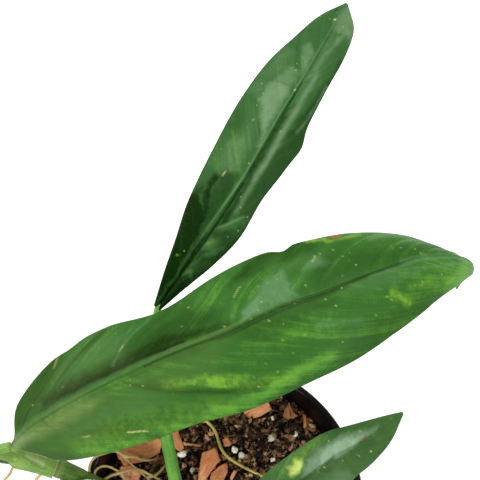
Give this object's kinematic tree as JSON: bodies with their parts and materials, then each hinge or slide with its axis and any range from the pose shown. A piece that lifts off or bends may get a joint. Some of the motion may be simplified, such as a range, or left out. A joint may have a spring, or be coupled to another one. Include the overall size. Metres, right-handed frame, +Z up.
{
  "type": "potted philodendron barrosoanum",
  "caption": "Young creeping aroid with entire oblong leaves and aerial roots, rooted in bark mix in a round black nursery pot.",
  "frame": {"origin": "middle of the pot's flat underside, on the surface that it stands on", "axes": "+Z up along the pot's axis; +Y towards the far side, where the narrow leaf points; the stem leaves over the rim towards -X"},
  "size_m": [0.2436, 0.2824, 0.1633],
  "materials": {
    "pot_plastic": "black moulded nursery-pot plastic, satin, faint mould lines",
    "potting_mix": "dark moist mix of fine bark, coir and a little perlite",
    "stem_skin": "smooth green stem with darker streaks and a ring at each joint",
    "sheath": "lighter green sheath with dry cream margins",
    "petiole_skin": "smooth mid green petiole with fine pale streaks",
    "upper_blade": "waxy dark green blade, darker at the base, faint side veins",
    "broad_blade": "waxy green blade, dark above the midrib, yellow-green mottling below it",
    "small_blade": "glossy green blade with one yellow spot",
    "aerial_root": "tan aerial root, fine lengthwise wrinkles",
    "olive_root": "olive to tan aerial root",
    "bark": "orange-brown orchid bark, layered and split along the grain",
    "perlite": "creamy white porous perlite"
  },
  "bodies": {
    "root": {"bark_chip_1": "bark", "bark_chip_10": "bark", "bark_chip_11": "bark", "bark_chip_12": "bark", "bark_chip_13": "bark", "bark_chip_14": "bark", "bark_chip_15": "bark", "bark_chip_16": "bark", "bark_chip_17": "bark", "bark_chip_18": "bark", "bark_chip_19": "bark", "bark_chip_2": "bark", "bark_chip_20": "bark", "bark_chip_3": "bark", "bark_chip_4": "bark", "bark_chip_5": "bark", "bark_chip_6": "bark", "bark_chip_7": "bark", "bark_chip_8": "bark", "bark_chip_9": "bark", "growing_tip": "sheath", "leaf_a_blade": "upper_blade", "leaf_a_petiole": "petiole_skin", "leaf_b_blade": "broad_blade", "leaf_b_petiole": "sheath", "leaf_c_blade": "small_blade", "leaf_c_petiole": "petiole_skin", "old_sheath": "sheath", "perlite_1": "perlite", "perlite_10": "perlite", "perlite_11": "perlite", "perlite_12": "perlite", "perlite_13": "perlite", "perlite_2": "perlite", "perlite_3": "perlite", "perlite_4": "perlite", "perlite_5": "perlite", "perlite_6": "perlite", "perlite_7": "perlite", "perlite_8": "perlite", "perlite_9": "perlite", "pot": "pot_plastic", "potting_mix": "potting_mix", "root_middle": "olive_root", "root_outer_1": "aerial_root", "root_outer_2": "aerial_root", "root_outer_3": "aerial_root", "roots_left": "aerial_root", "stem": "stem_skin"}
  },
  "joints": []
}
